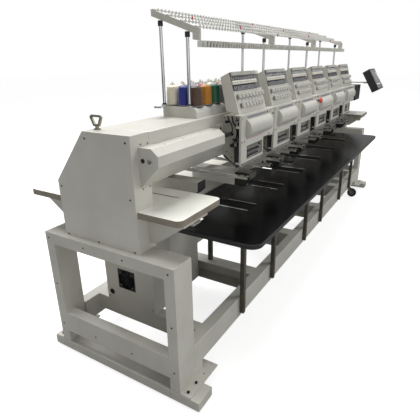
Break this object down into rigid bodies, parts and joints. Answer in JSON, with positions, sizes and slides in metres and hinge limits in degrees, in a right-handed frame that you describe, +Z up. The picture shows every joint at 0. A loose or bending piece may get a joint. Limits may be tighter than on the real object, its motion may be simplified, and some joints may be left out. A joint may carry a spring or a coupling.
{
  "type": "embroidery machine",
  "caption": "Long industrial multi-head embroidery machine: row of needle heads on a bridge over cylinder beds, moving hoop frame, lifting table, thread stand.",
  "frame": {"origin": "middle of the overall bounding box at floor level, under the levelling pads", "axes": "+X along the machine to the operator's right, -Y towards the operator, +Z up"},
  "size_m": [3.944, 1.115, 1.7582],
  "materials": {
    "frame_paint": "satin",
    "cover_paint": "satin",
    "machined_steel": "ground",
    "aluminium": "satin",
    "black_paint": "satin",
    "black_plastic": "matte",
    "white_plastic": "gloss",
    "rubber": "matte",
    "black_laminate": "satin laminate on board",
    "white_laminate": "satin laminate on board",
    "thread": "wound thread",
    "green_button": "gloss",
    "red_button": "gloss",
    "emergency_red": "gloss"
  },
  "bodies": {
    "machine": {"base_rails": "frame_paint", "levelling_pads": "rubber", "end_stands": "frame_paint", "floor_frame": "frame_paint", "frame_screws": "black_paint", "bed_support": "frame_paint", "cylinder_beds": "aluminium", "bed_noses": "black_paint", "needle_plates": "machined_steel", "bridge_frame": "cover_paint", "end_covers": "cover_paint", "lifting_eyes": "machined_steel", "shaft_housings": "cover_paint", "arm_castings": "cover_paint", "wing_tables": "white_laminate", "wing_brackets": "frame_paint", "electrical_box": "frame_paint", "fan_frame": "black_plastic", "y_drive_housings": "frame_paint", "thread_deck": "cover_paint", "rack_posts": "aluminium", "rack_brackets": "cover_paint", "guide_bars": "cover_paint", "thread_cones": "thread", "table_sleeves": "aluminium", "main_motor": "black_paint", "color_change_box": "black_paint"},
    "main_shaft_turning": {"main_shaft": "machined_steel"},
    "rotary_hook_one": {"hook_one": "machined_steel"},
    "rotary_hook_two": {"hook_two": "machined_steel"},
    "rotary_hook_three": {"hook_three": "machined_steel"},
    "rotary_hook_four": {"hook_four": "machined_steel"},
    "rotary_hook_five": {"hook_five": "machined_steel"},
    "rotary_hook_six": {"hook_six": "machined_steel"},
    "pressers": {"presser_feet": "machined_steel"},
    "start_button_one_plunger": {"start_button_one": "green_button"},
    "start_button_five_plunger": {"start_button_five": "green_button"},
    "stop_button_plunger": {"stop_button": "red_button"},
    "emergency_stop_plunger": {"emergency_stop": "emergency_red"},
    "y_drive": {"y_carriage": "aluminium"},
    "pantograph": {"sash_frame": "aluminium", "hoop_arms": "aluminium"},
    "panel_bracket": {"panel_arm": "aluminium"},
    "control_panel": {"panel_case": "black_plastic"},
    "front_caster_swivel": {"caster_fork_front": "black_paint"},
    "front_caster_roller": {"caster_wheel_front": "rubber"},
    "rear_caster_swivel": {"caster_fork_rear": "black_paint"},
    "rear_caster_roller": {"caster_wheel_rear": "rubber"},
    "fan_blades": {"fan_rotor": "black_plastic"},
    "key": {"key_switch": "machined_steel"},
    "needle_cases": {"tension_cases": "cover_paint", "tension_knobs": "white_plastic", "case_fronts": "cover_paint", "bump_covers": "cover_paint", "needle_bars": "machined_steel", "case_rods": "machined_steel"},
    "working_bars": {"active_needle_bars": "machined_steel"},
    "levers": {"take_up_levers": "machined_steel"},
    "table": {"table_top": "black_laminate", "table_fittings": "machined_steel"}
  },
  "joints": [
    {"name": "main_shaft_spin", "type": "hinge", "parent": "machine", "child": "main_shaft_turning", "pos_m": [0, -0.1955, 1.142], "axis": [1, 0, 0], "continuous": true},
    {"name": "hook_one_spin", "type": "hinge", "parent": "machine", "child": "rotary_hook_one", "pos_m": [-1.125, -0.2655, 0.886], "axis": [0, 1, 0], "continuous": true},
    {"name": "hook_two_spin", "type": "hinge", "parent": "machine", "child": "rotary_hook_two", "pos_m": [-0.675, -0.2655, 0.886], "axis": [0, 1, 0], "continuous": true},
    {"name": "hook_three_spin", "type": "hinge", "parent": "machine", "child": "rotary_hook_three", "pos_m": [-0.225, -0.2655, 0.886], "axis": [0, 1, 0], "continuous": true},
    {"name": "hook_four_spin", "type": "hinge", "parent": "machine", "child": "rotary_hook_four", "pos_m": [0.225, -0.2655, 0.886], "axis": [0, 1, 0], "continuous": true},
    {"name": "hook_five_spin", "type": "hinge", "parent": "machine", "child": "rotary_hook_five", "pos_m": [0.675, -0.2655, 0.886], "axis": [0, 1, 0], "continuous": true},
    {"name": "hook_six_spin", "type": "hinge", "parent": "machine", "child": "rotary_hook_six", "pos_m": [1.125, -0.2655, 0.886], "axis": [0, 1, 0], "continuous": true},
    {"name": "color_change_slide", "type": "slide", "parent": "machine", "child": "needle_cases", "axis": [1, 0, 0], "range_m": [-0.144, 0.0576]},
    {"name": "needle_bar_slide", "type": "slide", "parent": "needle_cases", "child": "working_bars", "axis": [0, 0, 1], "range_m": [-0.035, 0]},
    {"name": "presser_slide", "type": "slide", "parent": "machine", "child": "pressers", "axis": [0, 0, 1], "range_m": [-0.01, 0]},
    {"name": "take_up_swing", "type": "hinge", "parent": "needle_cases", "child": "levers", "pos_m": [0, -0.2785, 1.1755], "axis": [1, 0, 0], "range_deg": [-30, 30]},
    {"name": "start_button_one_press", "type": "slide", "parent": "needle_cases", "child": "start_button_one_plunger", "axis": [0, 1, 0], "range_m": [0, 0.003], "stiffness_N_per_m": 900, "springref_m": -0.001},
    {"name": "start_button_five_press", "type": "slide", "parent": "needle_cases", "child": "start_button_five_plunger", "axis": [0, 1, 0], "range_m": [0, 0.003], "stiffness_N_per_m": 900, "springref_m": -0.001},
    {"name": "stop_button_press", "type": "slide", "parent": "needle_cases", "child": "stop_button_plunger", "axis": [0, 1, 0], "range_m": [0, 0.003], "stiffness_N_per_m": 900, "springref_m": -0.001},
    {"name": "emergency_stop_press", "type": "slide", "parent": "needle_cases", "child": "emergency_stop_plunger", "axis": [0, 1, 0], "range_m": [0, 0.005], "stiffness_N_per_m": 1500, "springref_m": -0.001},
    {"name": "frame_y_slide", "type": "slide", "parent": "machine", "child": "y_drive", "axis": [0, 1, 0], "range_m": [-0.185, 0.225]},
    {"name": "frame_x_slide", "type": "slide", "parent": "y_drive", "child": "pantograph", "axis": [1, 0, 0], "range_m": [-0.13, 0.13]},
    {"name": "table_lift", "type": "slide", "parent": "machine", "child": "table", "axis": [0, 0, 1], "range_m": [0, 0.214]},
    {"name": "panel_swing", "type": "hinge", "parent": "machine", "child": "panel_bracket", "pos_m": [1.79, -0.1175, 1.257], "axis": [0, 0, 1], "range_deg": [-15, 60]},
    {"name": "panel_tilt", "type": "hinge", "parent": "panel_bracket", "child": "control_panel", "pos_m": [1.79, -0.3615, 1.257], "axis": [1, 0, 0], "range_deg": [-20, 30]},
    {"name": "front_caster_turn", "type": "hinge", "parent": "machine", "child": "front_caster_swivel", "pos_m": [1.48, -0.3375, 0.1], "axis": [0, 0, 1], "continuous": true},
    {"name": "front_caster_roll", "type": "hinge", "parent": "front_caster_swivel", "child": "front_caster_roller", "pos_m": [1.48, -0.3875, 0.051], "axis": [1, 0, 0], "continuous": true},
    {"name": "rear_caster_turn", "type": "hinge", "parent": "machine", "child": "rear_caster_swivel", "pos_m": [1.48, 0.4255, 0.1], "axis": [0, 0, 1], "continuous": true},
    {"name": "rear_caster_roll", "type": "hinge", "parent": "rear_caster_swivel", "child": "rear_caster_roller", "pos_m": [1.48, 0.4755, 0.051], "axis": [1, 0, 0], "continuous": true},
    {"name": "fan_spin", "type": "hinge", "parent": "machine", "child": "fan_blades", "pos_m": [-1.726, 0.1455, 0.405], "axis": [1, 0, 0], "continuous": true},
    {"name": "key_turn", "type": "hinge", "parent": "machine", "child": "key", "pos_m": [-1.895, -0.2085, 1.141], "axis": [1, 0, 0], "range_deg": [0, 90]}
  ],
  "couplings": [
    {"joint": "hook_one_spin", "follows": "main_shaft_spin", "ratio": 2},
    {"joint": "hook_two_spin", "follows": "main_shaft_spin", "ratio": 2},
    {"joint": "hook_three_spin", "follows": "main_shaft_spin", "ratio": 2},
    {"joint": "hook_four_spin", "follows": "main_shaft_spin", "ratio": 2},
    {"joint": "hook_five_spin", "follows": "main_shaft_spin", "ratio": 2},
    {"joint": "hook_six_spin", "follows": "main_shaft_spin", "ratio": 2}
  ]
}
